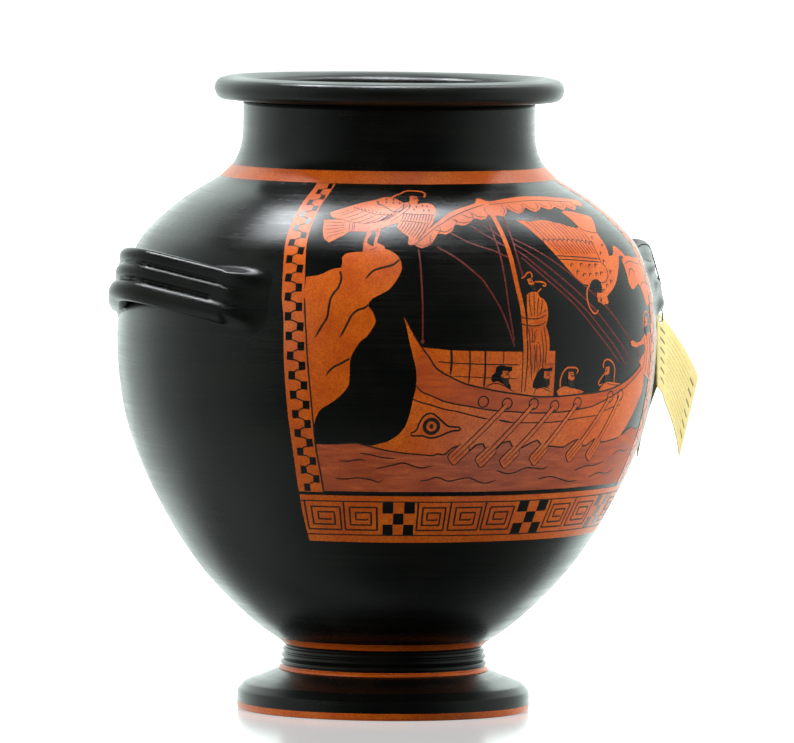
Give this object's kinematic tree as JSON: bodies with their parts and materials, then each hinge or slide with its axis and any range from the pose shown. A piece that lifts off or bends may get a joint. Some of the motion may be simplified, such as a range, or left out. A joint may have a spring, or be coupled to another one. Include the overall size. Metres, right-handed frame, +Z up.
{
  "type": "amphora",
  "caption": "Wide-mouthed black-gloss pottery storage jar with low reeded loop handles, a painted ship scene and a folded card swing tag on a thread.",
  "frame": {"origin": "centre of the foot's underside, on the surface it stands on", "axes": "+Z up along the vase's axis, +X through the right handle, -Y through the middle of the painted panel"},
  "size_m": [0.3571, 0.29, 0.34],
  "materials": {
    "black_gloss": "burnished gloss slip",
    "reserved_clay": "satin fired clay",
    "red_wash": "satin brick-red wash",
    "bare_clay": "matt unglazed clay",
    "thread": "twisted thread",
    "card": "matt card"
  },
  "bodies": {
    "vase": {"foot_disc": "black_gloss", "stem_collar": "black_gloss", "lower_body": "black_gloss", "shoulder": "black_gloss", "neck": "black_gloss", "lip_ring": "black_gloss", "left_handle_bottom_reed": "black_gloss", "left_handle_middle_reed": "black_gloss", "left_handle_top_reed": "black_gloss", "left_handle_front_root": "black_gloss", "left_handle_back_root": "black_gloss", "right_handle_bottom_reed": "black_gloss", "right_handle_middle_reed": "black_gloss", "right_handle_top_reed": "black_gloss", "right_handle_front_root": "black_gloss", "right_handle_back_root": "black_gloss", "string_hitch": "thread"},
    "tag": {"string_knot": "thread", "tag_string": "thread", "tag_outer_leaf": "card"},
    "tag_inner": {"tag_inner_leaf": "card"}
  },
  "joints": [
    {"name": "tag_swing", "type": "hinge", "parent": "vase", "child": "tag", "pos_m": [0.15721, -0.0209, 0.219], "axis": [-0.5, -0.866, 0], "range_deg": [-2, 75]},
    {"name": "tag_leaf_open", "type": "hinge", "parent": "tag", "child": "tag_inner", "pos_m": [0.15669, -0.0206, 0.21274], "axis": [0.3536, 0.6124, 0.7071], "range_deg": [-20, 6], "stiffness_Nm_per_rad": 0.01}
  ]
}
